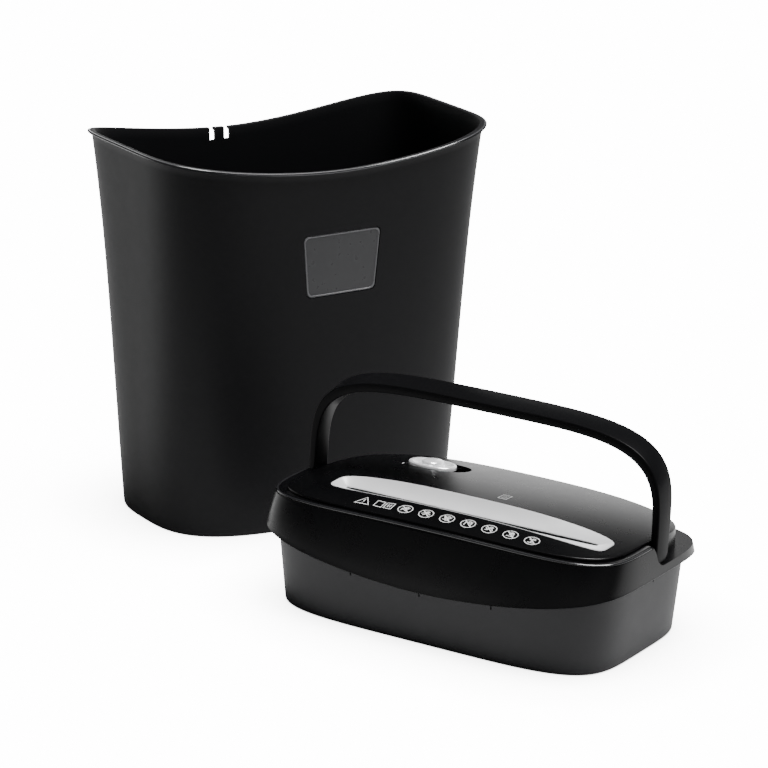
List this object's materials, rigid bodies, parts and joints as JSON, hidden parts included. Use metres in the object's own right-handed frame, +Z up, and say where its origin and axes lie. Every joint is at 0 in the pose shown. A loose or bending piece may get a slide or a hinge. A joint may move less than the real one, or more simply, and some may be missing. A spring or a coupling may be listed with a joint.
{
  "type": "paper shredder",
  "caption": "Desk-side paper shredder: a tapered waste bin with a rimmed, windowed wall, and a separate cutting head with a slot, slide switch and fold-down carrying handle.",
  "frame": {"origin": "centre of the waste bin's base, on the surface that the bin stands on", "axes": "+Z up, +X along the bin's long side, -Y towards the bin's windowed front, where the cutting head stands"},
  "size_m": [0.3162, 0.5723, 0.3207],
  "materials": {
    "bin_plastic": "dark grey, fine satin grain",
    "window_plastic": "smoked, see-through",
    "casing_plastic": "dark grey, fine matte grain",
    "cover_plastic": "black satin gloss",
    "handle_plastic": "black satin",
    "silver_trim": "silver lacquer, satin",
    "black_plastic": "moulded, matte",
    "gear_plastic": "natural nylon",
    "steel": "zinc-plated, pressed or turned",
    "cutter_steel": "hardened, oiled",
    "bronze": "sintered, oil-filled",
    "board_green": "solder mask over laminate",
    "capacitor_film": "moulded film capacitor case",
    "rubber_black": "moulded rubber"
  },
  "bodies": {
    "bin": {"waste_bin": "bin_plastic", "bin_window": "window_plastic"},
    "head": {"lower_casing": "casing_plastic", "top_cover": "cover_plastic", "throat_bezel": "silver_trim", "throat_guide_front": "black_plastic", "throat_guide_rear": "black_plastic", "switch_body": "black_plastic", "handle_pin_left": "steel", "handle_pin_right": "steel", "frame_plate_left": "steel", "frame_plate_right": "steel", "tie_rod_1": "steel", "tie_rod_2": "steel", "tie_rod_3": "steel", "tie_rod_4": "steel", "stripper_comb_front": "black_plastic", "bush_front_left": "bronze", "bush_front_right": "bronze", "stripper_comb_rear": "black_plastic", "bush_rear_left": "bronze", "bush_rear_right": "bronze", "gear_axle": "steel", "gear_plate": "steel", "gear_plate_standoff_1": "steel", "gear_plate_standoff_2": "steel", "motor": "steel", "thermal_cutout": "black_plastic", "circuit_board": "board_green", "power_relay": "black_plastic", "noise_capacitor": "capacitor_film", "paper_sensor_switch": "black_plastic", "interlock_switch": "black_plastic", "cord_gland": "rubber_black", "casing_screw_1": "steel", "casing_screw_2": "steel", "casing_screw_3": "steel", "casing_screw_4": "steel"},
    "handle": {"carry_handle": "handle_plastic"},
    "power_switch": {"switch_knob": "silver_trim"},
    "cutter_rear": {"cutter_shaft_rear": "steel", "cutter_discs_rear": "cutter_steel", "sync_gear_rear": "gear_plastic", "drive_gear": "gear_plastic"},
    "cutter_front": {"cutter_shaft_front": "steel", "cutter_discs_front": "cutter_steel", "sync_gear_front": "gear_plastic"},
    "gear_intermediate": {"intermediate_gear": "gear_plastic"},
    "motor_rotor": {"motor_pinion": "steel", "cooling_fan": "black_plastic"},
    "paper_lever": {"paper_sensor_lever": "gear_plastic"},
    "interlock": {"interlock_plunger": "gear_plastic"}
  },
  "joints": [
    {"name": "head_lift", "type": "slide", "parent": "bin", "child": "head", "axis": [0, 0, 1], "range_m": [0, 0.33]},
    {"name": "handle_fold", "type": "hinge", "parent": "head", "child": "handle", "pos_m": [-0.00916, -0.31267, 0.081], "axis": [-0.4147, 0.91, 0], "range_deg": [-3.6, 86.4]},
    {"name": "switch_slide", "type": "slide", "parent": "head", "child": "power_switch", "axis": [0.4147, -0.91, 0], "range_m": [0, 0.012]},
    {"name": "cutter_rear_spin", "type": "hinge", "parent": "head", "child": "cutter_rear", "pos_m": [-0.03523, -0.32455, 0.038], "axis": [0.4147, -0.91, 0], "continuous": true},
    {"name": "cutter_front_spin", "type": "hinge", "parent": "head", "child": "cutter_front", "pos_m": [-0.06116, -0.33637, 0.038], "axis": [0.4147, -0.91, 0], "continuous": true},
    {"name": "gear_spin", "type": "hinge", "parent": "head", "child": "gear_intermediate", "pos_m": [-0.05711, -0.20265, 0.05026], "axis": [0.4147, -0.91, 0], "continuous": true},
    {"name": "rotor_spin", "type": "hinge", "parent": "head", "child": "motor_rotor", "pos_m": [-0.0061, -0.24534, 0.034], "axis": [0.4147, -0.91, 0], "continuous": true},
    {"name": "paper_lever_tilt", "type": "hinge", "parent": "head", "child": "paper_lever", "pos_m": [-0.03288, -0.33755, 0.069], "axis": [0.4147, -0.91, 0], "range_deg": [0, 25], "stiffness_Nm_per_rad": 0.002, "springref_deg": -8.59},
    {"name": "interlock_press", "type": "slide", "parent": "head", "child": "interlock", "axis": [0, 0, 1], "range_m": [0, 0.004], "stiffness_N_per_m": 100, "springref_m": -0.002}
  ],
  "couplings": [
    {"joint": "cutter_rear_spin", "follows": "gear_spin", "ratio": -0.375},
    {"joint": "cutter_front_spin", "follows": "gear_spin", "ratio": 0.375},
    {"joint": "rotor_spin", "follows": "gear_spin", "ratio": -5}
  ]
}
